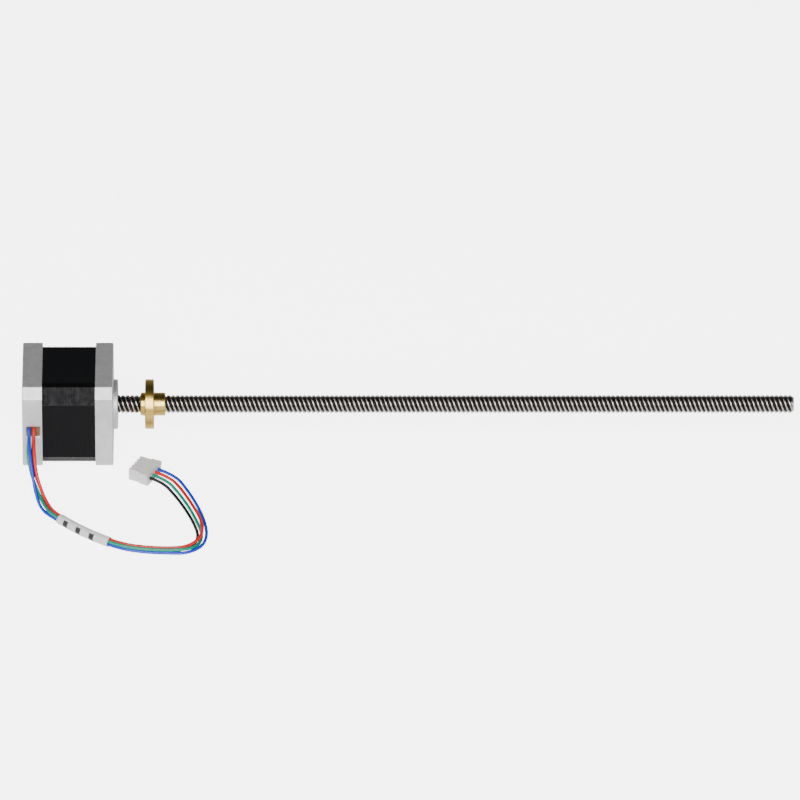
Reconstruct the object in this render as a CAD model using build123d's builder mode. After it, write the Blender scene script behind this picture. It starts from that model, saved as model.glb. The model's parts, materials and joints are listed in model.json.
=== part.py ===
from build123d import *
from math import cos, pi, radians, sin, tan
import os

# Stepper motor with a lead screw for its shaft, a brass nut and a four-wire lead.
#
# Origin: where the screw's axis crosses the motor's front mounting face.
# +X runs along the screw towards its tip, +Z is up, and the motor lies on its lower side face.
# All lengths are in millimetres.

os.makedirs("parts", exist_ok=True)

# ---- Motor body ----
BODY_WIDTH = 42.3
FRONT_CAP_LENGTH = 7.8
STACK_LENGTH = 23.4
REAR_CAP_LENGTH = 8.8
CAP_CORNER = 4.1            # leg of the 45 degree cut on the end caps' corners
CAP_EDGE = 0.5              # rounding of the end caps' outer faces
CAP_LONG_EDGE = 0.9         # rounding of their eight long edges
STACK_WIDTH = 42.0
STACK_CORNER = 7.2          # leg of the 45 degree cut on the laminations' corners
CAVITY_RADIUS = 18.6        # room for the end turns inside both caps
FRONT_CAVITY_DEPTH = 4.6
REAR_CAVITY_DEPTH = 6.8
PILOT_RADIUS = 11.0
PILOT_HEIGHT = 2.0
PILOT_EDGE = 0.3
SCREW_CLEARANCE_RADIUS = 4.5

# ---- Bolt holes and tie screws ----
BOLT_SPACING = 31.0
BOLT_TAP_RADIUS = 1.25      # M3 thread, minor radius
TIE_RADIUS = 1.5
TIE_CLEARANCE_RADIUS = 1.7
TIE_HEAD_RADIUS = 2.75
TIE_HEAD_HEIGHT = 1.9
TIE_HEAD_EDGE = 0.7
RECESS_SPAN = 2.6           # cross recess in each head
RECESS_WIDTH = 0.6
RECESS_DEPTH = 1.1
TIE_POCKET_RADIUS = 3.1
TIE_POCKET_DEPTH = 2.2
TIE_END_DEPTH = 4.7         # from the mounting face down to the tie screws' ends

# ---- Bearings, 5 x 16 x 5 ----
BEARING_BORE_RADIUS = 2.5
BEARING_OUTER_RADIUS = 8.0
BEARING_WIDTH = 5.0
BEARING_HOUSING_RADIUS = 9.6
INNER_RACE_RADIUS = 4.2
OUTER_RACE_RADIUS = 6.3
BALL_RADIUS = 1.4
BALL_TRACK_RADIUS = 1.45
BALL_CIRCLE_RADIUS = 5.25
BALL_COUNT = 7
CAGE_RADII = (5.8, 4.7)
CAGE_BACK = 0.9             # how far the cage reaches behind the balls' middle
CAGE_LENGTH = 2.8
CAGE_PLAY = 0.06
FRONT_BEARING_X = -4.3
REAR_BEARING_X = -35.7
PRELOAD_GAP = 0.6           # axial room of the dished washer behind the rear bearing
PRELOAD_THICKNESS = 0.25
PRELOAD_RADII = (5.9, 7.8)

# ---- Stator ----
POLE_COUNT = 8
POLE_WIDTH = 4.4
SLOT_RADIUS = 18.4
SHOE_RADIUS = 12.6
SHOE_GAP_WIDTH = 1.2
STATOR_BORE_RADIUS = 11.15
TOOTH_PITCH = 7.2           # degrees, the same on stator and rotor
TEETH_PER_POLE = 6
TOOTH_HEIGHT = 0.45
TOOTH_GAP_WIDTH = 0.68
END_TURN_HEIGHT = 2.0
INSULATOR_BASE = 0.6
INSULATOR_ARM_WIDTH = 5.0
COIL_INNER_RADIUS = 13.5
COIL_DEPTH = 3.2
INSULATOR_WALL = (17.3, 18.2)    # inner and outer radius
COIL_SIDE = 1.6
COIL_END = 1.3
COIL_CORNER = 1.1
ARM_WALL_THICKNESS = 0.8
BOARD_THICKNESS = 0.8
BOARD_PLAY = 0.6            # between the board and the rear cap's walls
BLOCK_SIZE = (3.2, 4.6)     # terminal block, across and up
BLOCK_LENGTH = 3.9

# ---- Rotor ----
ROTOR_TEETH = 50
ROTOR_RADIUS = 11.0
ROTOR_MARGIN = 0.9          # how far the rotor stops short of each end of the stack
MAGNET_THICKNESS = 1.8
MAGNET_RADIUS = 9.9
SPACER_RADIUS = 3.7

# ---- Lead screw and nut: 8 mm, 2 mm pitch, four starts, right-handed ----
# Both threads are modelled as plain cylinders at the screw's major diameter.
SCREW_LENGTH = 300.0        # from the mounting face to the tip
THREAD_RADIUS = 4.0
THREAD_START_X = -1.0
TIP_CHAMFER = 1.1
SHOULDER_RADIUS = 2.9
SHAFT_STICKOUT = 0.3        # beyond the rear bearing
NUT_START_X = 11.9
NUT_COLLAR_LENGTH = 2.0
NUT_FLANGE_LENGTH = 4.0
NUT_BARREL_LENGTH = 5.0
NUT_BARREL_RADIUS = 5.1
NUT_FLANGE_RADIUS = 11.0
NUT_HOLE_RADIUS = 1.75
NUT_HOLE_CIRCLE_RADIUS = 8.0
NUT_EDGE = 0.35
NUT_BORE_RADIUS = 4.05

# ---- Wires, sleeve and connector ----
FLOOR_Z = -BODY_WIDTH / 2
WIRE_RADIUS = 0.75
WIRE_START_Y = -18.3
OPENING_X = (-38.0, -32.2)
OPENING_Z = (-2.7, 2.4)
OPENING_EDGE = 0.4
OPENING_WALL_INSIDE = 1.0   # how far the cut for the opening runs past the cap's inner wall
BUSH_RECESS = 0.6
BUSH_PITCH = (2.1, 1.9)
BUSH_PLAY = 0.08
SLEEVE_RADIUS = 2.35
SLEEVE_BORE_RADIUS = 2.0
PIN_PITCH = 2.5
PIN_COUNT = 4
HOUSING_WIDTH = 12.4
HOUSING_LENGTH = 9.8
HOUSING_HEIGHT = 5.75
HOUSING_POSITION = (18.1, -27.3, FLOOR_Z)
HOUSING_HEADING = (-0.883, 0.469, 0.0)
NOSE_STEP_LENGTH = 5.3      # the mating end is narrower over this length
NOSE_STEP_WIDTH = 0.65
NOTCH_LENGTH = 1.65
NOTCH_WIDTH = 1.15
NOTCH_DEPTH = 1.6
WINDOW_LENGTH = 1.3
WINDOW_WIDTH = 1.1
WINDOW_SETBACK = 3.6        # from the mating end to the windows' middle
LUG_SIZE = (1.8, 0.7, 2.0)
LUG_DROP = 2.4              # from the roof down to the lugs' underside
CAVITY_SIDE = 1.9
WIRE_HOLE_RADIUS = 0.9
CRIMP_START = 2.2           # how deep the wires go into the housing
CRIMP_SIDE = 1.6
CRIMP_SETBACK = 0.8
SOCKET_SIDE = 0.9
SOCKET_DEPTH = 4.0

# Middle of the four wires, from the terminal block to the connector.
ROUTE = [
    (-35.9, -18.3, 0.0),
    (-35.9, -25.6, 0.0),
    (-35.7, -33.0, -3.6),
    (-34.7, -39.4, -10.0),
    (-32.6, -45.2, -16.0),
    (-29.8, -51.4, -19.2),
    (-25.9, -58.3, -18.8),
    (-12.6, -71.0, -18.8),
    (2.4, -81.2, -18.8),
    (13.5, -83.2, -19.6),
    (24.5, -84.0, -19.6),
    (32.2, -83.4, -19.6),
    (38.0, -79.0, -19.6),
    (39.9, -71.4, -19.6),
    (38.0, -61.0, -19.6),
    (34.6, -50.6, -19.4),
    (30.1, -40.8, -18.9),
    (24.3, -30.6, -18.3),
    (16.16, -26.27, -18.3),
]

# Where each wire lies about that middle line, point by point: to the left of the
# direction of travel, and above it.
LANES = {
    "wire_blue": [
        (-1.05, 0.95), (-1.05, 0.95), (-0.9, 0.9), (-0.8, 0.9), (-1.5, 0.4), (-1.7, -0.7),
        (-0.8, -0.8), (-0.8, -0.8), (-0.8, -0.8), (-0.8, -0.8), (-0.8, -0.8), (-1.6, -0.8),
        (-1.8, -0.8), (-1.9, -0.8), (-2.6, -0.8), (-3.0, -0.6), (-3.3, -0.2), (-3.75, 0.0),
        (-3.75, 0.0),
    ],
    "wire_red": [
        (1.05, 0.95), (1.05, 0.95), (1.0, 0.9), (0.9, 0.9), (1.3, 0.95), (1.3, 1.2),
        (0.8, 0.8), (0.8, 0.8), (0.8, 0.8), (0.8, 0.8), (0.8, 0.8), (0.95, 0.8),
        (0.9, 1.0), (0.0, 0.95), (-0.95, 0.5), (-1.1, -0.6), (-1.2, -0.2), (-1.25, 0.0),
        (-1.25, 0.0),
    ],
    "wire_green": [
        (-1.05, -0.95), (-1.05, -0.95), (-1.8, -0.7), (-1.0, -0.9), (0.2, -0.85), (-0.2, 0.6),
        (-0.8, 0.8), (-0.8, 0.8), (-0.8, 0.8), (-0.8, 0.8), (-0.8, 0.8), (-0.7, 0.7),
        (0.0, -0.75), (0.1, -0.8), (0.7, -0.8), (0.9, -0.6), (1.1, -0.2), (1.25, 0.0),
        (1.25, 0.0),
    ],
    "wire_black": [
        (1.05, -0.95), (1.05, -0.95), (0.4, -0.9), (0.7, -0.9), (1.9, -0.85), (1.5, -0.8),
        (0.8, -0.8), (0.8, -0.8), (0.8, -0.8), (0.8, -0.8), (0.8, -0.8), (1.3, -0.8),
        (1.8, -0.8), (1.9, -0.8), (2.4, -0.8), (2.9, -0.6), (3.3, -0.2), (3.75, 0.0),
        (3.75, 0.0),
    ],
}
SLEEVE_FIRST = 6            # the sleeve lies on the route between these two points
SLEEVE_LAST = 8
SLEEVE_SETBACK = 3.4        # and stops this far short of each

# ---- Worked out from the above ----
FRONT_CAP_BACK_X = -FRONT_CAP_LENGTH
REAR_CAP_FRONT_X = FRONT_CAP_BACK_X - STACK_LENGTH
REAR_X = REAR_CAP_FRONT_X - REAR_CAP_LENGTH
STACK_MIDDLE_X = (FRONT_CAP_BACK_X + REAR_CAP_FRONT_X) / 2


def across(x):
    """Plane square to the screw axis at x: its own x is +Y and its own y is +Z."""
    return Plane.YZ.offset(x)


def save(builder, name):
    """Label one finished piece and write its file."""
    builder.part.label = name
    export_step(builder.part, f"parts/{name}.step")


def cut_square(width, corner):
    """A square whose four corners are cut at 45 degrees."""
    outline = Rectangle(width, width)
    chamfer(outline.vertices(), corner)


def ring(outer, inner):
    """A flat ring."""
    Circle(outer)
    Circle(inner, mode=Mode.SUBTRACT)


# ---------------------------------------------------------------- end caps
with BuildPart() as front_end_cap:
    with BuildSketch(across(FRONT_CAP_BACK_X)):
        cut_square(BODY_WIDTH, CAP_CORNER)
    extrude(amount=FRONT_CAP_LENGTH)
    fillet(front_end_cap.edges().filter_by(Axis.X), CAP_LONG_EDGE)
    fillet(front_end_cap.faces().sort_by(Axis.X)[-1].edges(), CAP_EDGE)
    with BuildSketch(across(0)):
        Circle(PILOT_RADIUS)
    extrude(amount=PILOT_HEIGHT)
    chamfer(front_end_cap.faces().sort_by(Axis.X)[-1].edges(), PILOT_EDGE)
    # room for the end turns, round the bearing housing
    with BuildSketch(across(FRONT_CAP_BACK_X)):
        ring(CAVITY_RADIUS, BEARING_HOUSING_RADIUS)
    extrude(amount=FRONT_CAVITY_DEPTH, mode=Mode.SUBTRACT)
    front_bearing_front_x = FRONT_BEARING_X + BEARING_WIDTH / 2
    with BuildSketch(across(FRONT_CAP_BACK_X)):
        Circle(BEARING_OUTER_RADIUS)
    extrude(amount=front_bearing_front_x - FRONT_CAP_BACK_X, mode=Mode.SUBTRACT)
    with BuildSketch(across(FRONT_CAP_BACK_X)):
        Circle(SCREW_CLEARANCE_RADIUS)
    extrude(amount=FRONT_CAP_LENGTH + PILOT_HEIGHT, mode=Mode.SUBTRACT)
    with BuildSketch(across(0)):
        with GridLocations(BOLT_SPACING, BOLT_SPACING, 2, 2):
            Circle(BOLT_TAP_RADIUS)
    extrude(amount=-TIE_END_DEPTH, mode=Mode.SUBTRACT)
    with BuildSketch(across(FRONT_CAP_BACK_X)):
        with GridLocations(BOLT_SPACING, BOLT_SPACING, 2, 2):
            Circle(TIE_RADIUS)
    extrude(amount=FRONT_CAP_LENGTH - TIE_END_DEPTH, mode=Mode.SUBTRACT)
save(front_end_cap, "front_end_cap")

with BuildPart() as rear_end_cap:
    with BuildSketch(across(REAR_X)):
        cut_square(BODY_WIDTH, CAP_CORNER)
    extrude(amount=REAR_CAP_LENGTH)
    fillet(rear_end_cap.edges().filter_by(Axis.X), CAP_LONG_EDGE)
    fillet(rear_end_cap.faces().sort_by(Axis.X)[0].edges(), CAP_EDGE)
    with BuildSketch(across(REAR_CAP_FRONT_X)):
        ring(CAVITY_RADIUS, BEARING_HOUSING_RADIUS)
    extrude(amount=-REAR_CAVITY_DEPTH, mode=Mode.SUBTRACT)
    rear_bearing_front_x = REAR_BEARING_X + BEARING_WIDTH / 2
    with BuildSketch(across(REAR_CAP_FRONT_X)):
        Circle(BEARING_HOUSING_RADIUS)
    extrude(amount=rear_bearing_front_x - REAR_CAP_FRONT_X, mode=Mode.SUBTRACT)
    with BuildSketch(across(rear_bearing_front_x)):
        Circle(BEARING_OUTER_RADIUS)
    extrude(amount=-BEARING_WIDTH - PRELOAD_GAP, mode=Mode.SUBTRACT)
    with BuildSketch(across(REAR_X)):
        with GridLocations(BOLT_SPACING, BOLT_SPACING, 2, 2):
            Circle(TIE_CLEARANCE_RADIUS)
    extrude(amount=REAR_CAP_LENGTH, mode=Mode.SUBTRACT)
    with BuildSketch(across(REAR_X)):
        with GridLocations(BOLT_SPACING, BOLT_SPACING, 2, 2):
            Circle(TIE_POCKET_RADIUS)
    extrude(amount=TIE_POCKET_DEPTH, mode=Mode.SUBTRACT)
    # opening for the wires in the near side face, with a bevelled rim
    opening_middle = ((OPENING_X[0] + OPENING_X[1]) / 2, (OPENING_Z[0] + OPENING_Z[1]) / 2)
    opening_size = (OPENING_X[1] - OPENING_X[0], OPENING_Z[1] - OPENING_Z[0])
    near_face = Plane(
        origin=(opening_middle[0], -BODY_WIDTH / 2, opening_middle[1]),
        x_dir=(1, 0, 0),
        z_dir=(0, -1, 0),
    )
    with BuildSketch(near_face):
        Rectangle(*opening_size)
    extrude(amount=-BODY_WIDTH / 2 + CAVITY_RADIUS - OPENING_WALL_INSIDE, mode=Mode.SUBTRACT)
    opening_rim = rear_end_cap.faces().sort_by(Axis.Y)[0].inner_wires()[0].edges()
    chamfer(opening_rim, OPENING_EDGE)
save(rear_end_cap, "rear_end_cap")

# ---------------------------------------------------------------- stator
with BuildPart() as stator_stack:
    with BuildSketch(across(REAR_CAP_FRONT_X)):
        cut_square(STACK_WIDTH, STACK_CORNER)
        Circle(SLOT_RADIUS, mode=Mode.SUBTRACT)
        pole_length = SLOT_RADIUS + 0.3 - STATOR_BORE_RADIUS
        with PolarLocations(STATOR_BORE_RADIUS + pole_length / 2, POLE_COUNT):
            Rectangle(pole_length, POLE_WIDTH)
        ring(SHOE_RADIUS, STATOR_BORE_RADIUS)
        Circle(STATOR_BORE_RADIUS, mode=Mode.SUBTRACT)
        # gaps between neighbouring pole shoes
        shoe_gap_middle = (SHOE_RADIUS + STATOR_BORE_RADIUS) / 2
        with PolarLocations(shoe_gap_middle, POLE_COUNT, start_angle=180 / POLE_COUNT):
            Rectangle(2 * (SHOE_RADIUS - STATOR_BORE_RADIUS), SHOE_GAP_WIDTH, mode=Mode.SUBTRACT)
        # gaps between the teeth of each shoe
        for pole in range(POLE_COUNT):
            first_gap = pole * 360 / POLE_COUNT - TOOTH_PITCH * (TEETH_PER_POLE / 2 - 1)
            for gap in range(TEETH_PER_POLE - 1):
                angle = first_gap + gap * TOOTH_PITCH
                with PolarLocations(STATOR_BORE_RADIUS, 1, start_angle=angle):
                    Rectangle(2 * TOOTH_HEIGHT, TOOTH_GAP_WIDTH, mode=Mode.SUBTRACT)
        with GridLocations(BOLT_SPACING, BOLT_SPACING, 2, 2):
            Circle(TIE_CLEARANCE_RADIUS, mode=Mode.SUBTRACT)
    extrude(amount=STACK_LENGTH)
save(stator_stack, "stator_stack")

for name, face_x, outward in (
    ("front_insulator", FRONT_CAP_BACK_X, 1),
    ("rear_insulator", REAR_CAP_FRONT_X, -1),
):
    with BuildPart() as insulator:
        # base with an arm over each pole
        with BuildSketch(across(face_x)):
            ring(INSULATOR_WALL[1], INSULATOR_WALL[0])
            arm_length = INSULATOR_WALL[0] + 0.2 - SHOE_RADIUS
            with PolarLocations(SHOE_RADIUS + arm_length / 2, POLE_COUNT):
                Rectangle(arm_length, INSULATOR_ARM_WIDTH)
        extrude(amount=outward * INSULATOR_BASE)
        # outer wall
        with BuildSketch(across(face_x)):
            ring(INSULATOR_WALL[1], INSULATOR_WALL[0])
        extrude(amount=outward * END_TURN_HEIGHT)
        # a short wall at the root of each arm
        with BuildSketch(across(face_x)):
            with PolarLocations(SHOE_RADIUS + ARM_WALL_THICKNESS / 2, POLE_COUNT):
                Rectangle(ARM_WALL_THICKNESS, INSULATOR_ARM_WIDTH + 2)
        extrude(amount=outward * END_TURN_HEIGHT)
    save(insulator, name)

with BuildPart() as coil_windings:
    window_length = STACK_LENGTH + 2 * INSULATOR_BASE
    for pole in range(POLE_COUNT):
        angle = radians(pole * 360 / POLE_COUNT)
        pole_face = Plane(
            origin=(STACK_MIDDLE_X, COIL_INNER_RADIUS * cos(angle), COIL_INNER_RADIUS * sin(angle)),
            x_dir=(1, 0, 0),
            z_dir=(0, cos(angle), sin(angle)),
        )
        with BuildSketch(pole_face):
            RectangleRounded(
                window_length + 2 * COIL_END, INSULATOR_ARM_WIDTH + 2 * COIL_SIDE, COIL_CORNER
            )
            Rectangle(window_length, INSULATOR_ARM_WIDTH, mode=Mode.SUBTRACT)
        extrude(amount=COIL_DEPTH)
save(coil_windings, "coil_windings")

with BuildPart() as terminal_board:
    board_x = REAR_CAP_FRONT_X - END_TURN_HEIGHT
    with BuildSketch(across(board_x)):
        ring(CAVITY_RADIUS - BOARD_PLAY, BEARING_HOUSING_RADIUS + BOARD_PLAY)
    extrude(amount=-BOARD_THICKNESS)
    # block that the four wires are soldered into
    with BuildSketch(across(board_x - BOARD_THICKNESS)):
        with Locations((WIRE_START_Y + BLOCK_SIZE[0] / 2, 0)):
            Rectangle(*BLOCK_SIZE)
    extrude(amount=-BLOCK_LENGTH)
save(terminal_board, "terminal_board")

with BuildPart() as wire_bush:
    with BuildSketch(near_face.offset(-BUSH_RECESS)):
        Rectangle(*opening_size)
        with Locations((ROUTE[0][0] - opening_middle[0], ROUTE[0][2] - opening_middle[1])):
            with GridLocations(*BUSH_PITCH, 2, 2):
                Circle(WIRE_RADIUS + BUSH_PLAY, mode=Mode.SUBTRACT)
    extrude(amount=-(BODY_WIDTH / 2 - BUSH_RECESS + WIRE_START_Y))
save(wire_bush, "wire_bush")

with BuildPart() as tie_screws:
    head_seat_x = REAR_X + TIE_POCKET_DEPTH
    with BuildSketch(across(head_seat_x)):
        with GridLocations(BOLT_SPACING, BOLT_SPACING, 2, 2):
            Circle(TIE_RADIUS)
    extrude(amount=-TIE_END_DEPTH - head_seat_x)
    with BuildSketch(across(head_seat_x)):
        with GridLocations(BOLT_SPACING, BOLT_SPACING, 2, 2):
            Circle(TIE_HEAD_RADIUS)
    extrude(amount=-TIE_HEAD_HEIGHT)
    head_x = head_seat_x - TIE_HEAD_HEIGHT
    head_rims = tie_screws.faces().filter_by(Axis.X).group_by(Axis.X)[0].edges()
    fillet(head_rims, TIE_HEAD_EDGE)
    # cross recess in each head
    with BuildSketch(across(head_x)):
        with GridLocations(BOLT_SPACING, BOLT_SPACING, 2, 2):
            Rectangle(RECESS_SPAN, RECESS_WIDTH)
            Rectangle(RECESS_WIDTH, RECESS_SPAN)
    extrude(amount=RECESS_DEPTH, mode=Mode.SUBTRACT)
save(tie_screws, "tie_screws")

# ---------------------------------------------------------------- bearings
for place, middle_x in (("front", FRONT_BEARING_X), ("rear", REAR_BEARING_X)):
    with BuildPart() as outer_race:
        with BuildSketch(across(middle_x - BEARING_WIDTH / 2)):
            ring(BEARING_OUTER_RADIUS, OUTER_RACE_RADIUS)
        extrude(amount=BEARING_WIDTH)
        with BuildSketch(Plane.XY):
            with Locations((middle_x, BALL_CIRCLE_RADIUS)):
                Circle(BALL_TRACK_RADIUS)
        revolve(axis=Axis.X, mode=Mode.SUBTRACT)
    save(outer_race, f"{place}_bearing_outer_race")

    with BuildPart() as inner_race:
        with BuildSketch(across(middle_x - BEARING_WIDTH / 2)):
            ring(INNER_RACE_RADIUS, BEARING_BORE_RADIUS)
        extrude(amount=BEARING_WIDTH)
        with BuildSketch(Plane.XY):
            with Locations((middle_x, BALL_CIRCLE_RADIUS)):
                Circle(BALL_TRACK_RADIUS)
        revolve(axis=Axis.X, mode=Mode.SUBTRACT)
    save(inner_race, f"{place}_bearing_inner_race")

    with BuildPart() as balls:
        for ball in range(BALL_COUNT):
            angle = 2 * pi * ball / BALL_COUNT
            ball_y = BALL_CIRCLE_RADIUS * cos(angle)
            ball_z = BALL_CIRCLE_RADIUS * sin(angle)
            with Locations((middle_x, ball_y, ball_z)):
                Sphere(BALL_RADIUS)
    save(balls, f"{place}_bearing_balls")

    with BuildPart() as cage:
        with BuildSketch(across(middle_x - CAGE_BACK)):
            ring(*CAGE_RADII)
        extrude(amount=CAGE_LENGTH)
        for ball in range(BALL_COUNT):
            angle = 2 * pi * ball / BALL_COUNT
            pocket = Plane(
                origin=(middle_x, 0, 0), x_dir=(1, 0, 0), z_dir=(0, cos(angle), sin(angle))
            )
            with BuildSketch(pocket):
                Circle(BALL_RADIUS + CAGE_PLAY)
            extrude(amount=BEARING_OUTER_RADIUS, mode=Mode.SUBTRACT)
    save(cage, f"{place}_bearing_cage")

with BuildPart() as preload_washer:
    washer_back_x = REAR_BEARING_X - BEARING_WIDTH / 2 - PRELOAD_GAP
    dish = PRELOAD_GAP - PRELOAD_THICKNESS
    with BuildSketch(Plane.XY):
        with BuildLine():
            Polyline(
                (washer_back_x, PRELOAD_RADII[0]),
                (washer_back_x + PRELOAD_THICKNESS, PRELOAD_RADII[0]),
                (washer_back_x + PRELOAD_THICKNESS + dish, PRELOAD_RADII[1]),
                (washer_back_x + dish, PRELOAD_RADII[1]),
                close=True,
            )
        make_face()
    revolve(axis=Axis.X)
save(preload_washer, "preload_washer")

# ---------------------------------------------------------------- rotor
rotor_front_x = FRONT_CAP_BACK_X - ROTOR_MARGIN
rotor_rear_x = REAR_CAP_FRONT_X + ROTOR_MARGIN
cup_length = (rotor_front_x - rotor_rear_x - MAGNET_THICKNESS) / 2
for name, back_x, turn in (
    ("rotor_front_cup", rotor_front_x - cup_length, 0),
    ("rotor_rear_cup", rotor_rear_x, TOOTH_PITCH / 2),
):
    with BuildPart() as cup:
        with BuildSketch(across(back_x)):
            Circle(ROTOR_RADIUS)
            with PolarLocations(ROTOR_RADIUS, ROTOR_TEETH, start_angle=turn):
                Rectangle(2 * TOOTH_HEIGHT, TOOTH_GAP_WIDTH, mode=Mode.SUBTRACT)
            Circle(BEARING_BORE_RADIUS, mode=Mode.SUBTRACT)
        extrude(amount=cup_length)
    save(cup, name)

with BuildPart() as rotor_magnet:
    with BuildSketch(across(rotor_rear_x + cup_length)):
        ring(MAGNET_RADIUS, BEARING_BORE_RADIUS)
    extrude(amount=MAGNET_THICKNESS)
save(rotor_magnet, "rotor_magnet")

with BuildPart() as rotor_front_spacer:
    with BuildSketch(across(rotor_front_x)):
        ring(SPACER_RADIUS, BEARING_BORE_RADIUS)
    extrude(amount=FRONT_BEARING_X - BEARING_WIDTH / 2 - rotor_front_x)
save(rotor_front_spacer, "rotor_front_spacer")

with BuildPart() as rotor_rear_spacer:
    with BuildSketch(across(rear_bearing_front_x)):
        ring(SPACER_RADIUS, BEARING_BORE_RADIUS)
    extrude(amount=rotor_rear_x - rear_bearing_front_x)
save(rotor_rear_spacer, "rotor_rear_spacer")

# ---------------------------------------------------------------- lead screw and nut
with BuildPart() as lead_screw:
    # plain shaft through the rotor and both bearings
    shaft_rear_x = REAR_BEARING_X - BEARING_WIDTH / 2 - SHAFT_STICKOUT
    with BuildSketch(across(shaft_rear_x)):
        Circle(BEARING_BORE_RADIUS)
    extrude(amount=front_bearing_front_x - shaft_rear_x)
    # shoulder against the front bearing's inner race
    with BuildSketch(across(front_bearing_front_x)):
        Circle(SHOULDER_RADIUS)
    extrude(amount=THREAD_START_X - front_bearing_front_x)
    with BuildSketch(across(THREAD_START_X)):
        Circle(THREAD_RADIUS)
    extrude(amount=SCREW_LENGTH - THREAD_START_X)
    chamfer(lead_screw.faces().sort_by(Axis.X)[-1].edges(), TIP_CHAMFER)
save(lead_screw, "lead_screw")

with BuildPart() as lead_nut:
    with BuildSketch(across(NUT_START_X)):
        Circle(NUT_BARREL_RADIUS)
    extrude(amount=NUT_COLLAR_LENGTH + NUT_FLANGE_LENGTH + NUT_BARREL_LENGTH)
    chamfer(lead_nut.faces().filter_by(Axis.X).edges(), NUT_EDGE)
    with BuildSketch(across(NUT_START_X + NUT_COLLAR_LENGTH)):
        Circle(NUT_FLANGE_RADIUS)
    extrude(amount=NUT_FLANGE_LENGTH)
    flange_rims = lead_nut.edges().filter_by(GeomType.CIRCLE).filter_by(
        lambda edge: edge.radius > NUT_FLANGE_RADIUS - 0.01
    )
    chamfer(flange_rims, NUT_EDGE)
    with BuildSketch(across(NUT_START_X + NUT_COLLAR_LENGTH)):
        with PolarLocations(NUT_HOLE_CIRCLE_RADIUS, 4, start_angle=45):
            Circle(NUT_HOLE_RADIUS)
    extrude(amount=NUT_FLANGE_LENGTH, mode=Mode.SUBTRACT)
    with BuildSketch(across(NUT_START_X)):
        Circle(NUT_BORE_RADIUS)
    extrude(amount=NUT_COLLAR_LENGTH + NUT_FLANGE_LENGTH + NUT_BARREL_LENGTH, mode=Mode.SUBTRACT)
save(lead_nut, "lead_nut")

# ---------------------------------------------------------------- wires
UP = Vector(0, 0, 1)


def beside_route(lanes):
    """The route's points, each moved by its lane: to the left of travel, and up from it."""
    points = [Vector(*point) for point in ROUTE]
    headings = [(after - before).normalized() for before, after in zip(points, points[1:])]
    arrivals = [headings[0]] + headings
    departures = headings + [headings[-1]]
    moved = []
    for point, arriving, leaving, (side, rise) in zip(points, arrivals, departures, lanes):
        travel = (arriving + leaving).normalized()
        left = UP.cross(travel).normalized()
        above = travel.cross(left)
        # a corner's own points stand out further, so that neighbouring wires stay parallel
        miter = travel.dot(leaving)
        moved.append(point + left * (side / miter) + above * rise)
    return moved


def corner_radii(points):
    """The largest arc that each corner's two runs allow."""
    radii = []
    for before, corner, after in zip(points, points[1:], points[2:]):
        shorter = min((corner - before).length, (after - corner).length)
        turn = radians((corner - before).get_angle(after - corner))
        radii.append(0.45 * shorter / tan(turn / 2))
    return radii


def rounded_path(points):
    """Straight runs joined by arcs, as one line."""
    with BuildLine() as path:
        FilletPolyline(*points, radius=corner_radii(points))
    return path.wires()[0]


for name, lanes in LANES.items():
    wire_points = beside_route(lanes)
    wire_path = rounded_path(wire_points)
    with BuildPart() as wire:
        with BuildSketch(Plane(origin=wire_path @ 0, z_dir=wire_path % 0)):
            Circle(WIRE_RADIUS)
        sweep(path=wire_path)
    save(wire, name)
    expected = pi * WIRE_RADIUS**2 * wire_path.length
    print(f"{name}: length {wire_path.length:.1f} mm, volume {wire.part.volume:.1f} of {expected:.1f} mm3")
    print("  radii", [round(radius, 1) for radius in corner_radii(wire_points)])
    print(f"  lowest {wire.part.bounding_box().min.Z:.2f} mm")

sleeve_points = [Vector(*point) for point in ROUTE[SLEEVE_FIRST : SLEEVE_LAST + 1]]
start_heading = (sleeve_points[1] - sleeve_points[0]).normalized()
end_heading = (sleeve_points[-1] - sleeve_points[-2]).normalized()
sleeve_points[0] = sleeve_points[0] + start_heading * SLEEVE_SETBACK
sleeve_points[-1] = sleeve_points[-1] - end_heading * SLEEVE_SETBACK
sleeve_path = rounded_path(sleeve_points)
with BuildPart() as marker_sleeve:
    with BuildSketch(Plane(origin=sleeve_path @ 0, z_dir=sleeve_path % 0)):
        ring(SLEEVE_RADIUS, SLEEVE_BORE_RADIUS)
    sweep(path=sleeve_path)
save(marker_sleeve, "marker_sleeve")
print(f"marker_sleeve: length {sleeve_path.length:.1f} mm")

# ---------------------------------------------------------------- connector
# The housing's own frame: x from the wires' end to the mating end, y along the row of pins.
housing_base = Plane(origin=HOUSING_POSITION, x_dir=HOUSING_HEADING, z_dir=(0, 0, 1))
pin_height = HOUSING_HEIGHT / 2

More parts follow.
